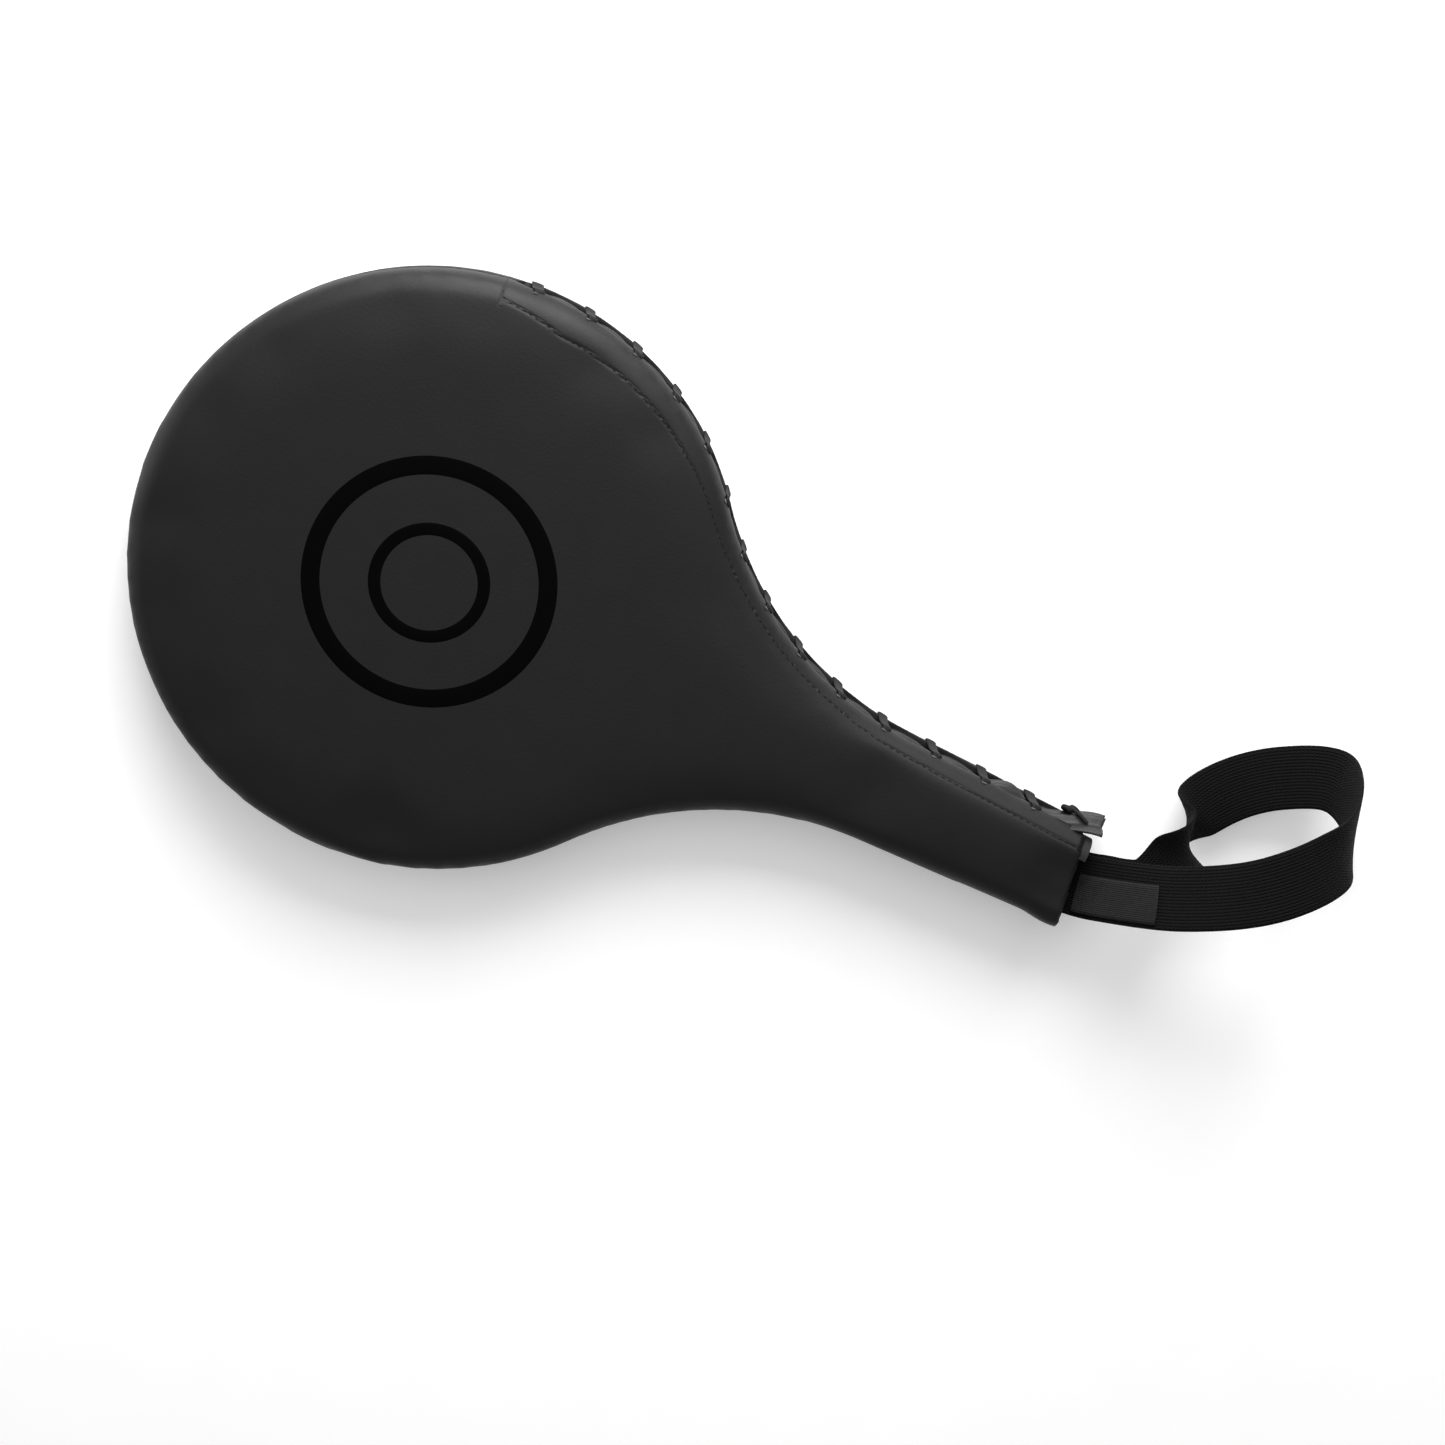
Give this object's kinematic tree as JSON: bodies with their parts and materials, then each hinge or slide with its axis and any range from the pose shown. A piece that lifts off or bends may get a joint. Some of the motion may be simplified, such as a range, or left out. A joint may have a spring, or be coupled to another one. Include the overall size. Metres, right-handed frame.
{
  "type": "kick paddle",
  "caption": "Padded striking paddle for boxing and kick training: round leather-covered head, laced side, tapering handle and an elastic wrist strap.",
  "frame": {"origin": "centre of the round head on the back face, which the paddle lies on", "axes": "+X from the head towards the handle's end, +Y towards the laced side, +Z out of the front face"},
  "size_m": [0.4828, 0.2382, 0.0779],
  "materials": {
    "cover_leather": "matte fine grain synthetic leather",
    "lining_leather": "matte split leather",
    "tongue_leather": "soft semi-gloss leather",
    "lace_leather": "satin cut leather lace",
    "thread": "bonded polyester thread",
    "print_black": "gloss transfer print",
    "soft_foam": "soft closed cell foam",
    "firm_foam": "firm closed cell foam",
    "board": "plywood",
    "webbing": "ribbed elastic webbing",
    "rivet_steel": "plain",
    "label_fabric": "woven tab, no lettering"
  },
  "bodies": {
    "paddle": {"front_cover": "cover_leather", "back_cover": "cover_leather", "front_facing": "lining_leather", "back_facing": "lining_leather", "lace_tongue": "tongue_leather", "side_lace": "lace_leather", "lace_start_knot": "lace_leather", "lace_end_knot": "lace_leather", "rim_seam_thread": "thread", "front_facing_thread": "thread", "back_facing_thread": "thread", "front_mark": "print_black", "back_mark": "print_black", "front_soft_foam": "soft_foam", "back_soft_foam": "soft_foam", "front_firm_foam": "firm_foam", "back_firm_foam": "firm_foam", "edge_foam": "soft_foam", "core_board": "board", "strap_tails": "webbing", "strap_rivets": "rivet_steel"},
    "strap": {"wrist_strap": "webbing", "label_tab": "label_fabric"}
  },
  "joints": [
    {"name": "strap_swing", "type": "hinge", "parent": "paddle", "child": "strap", "pos_m": [0.2765, -0.003, 0.017], "axis": [0, 1, 0], "range_deg": [-35, 72]}
  ]
}
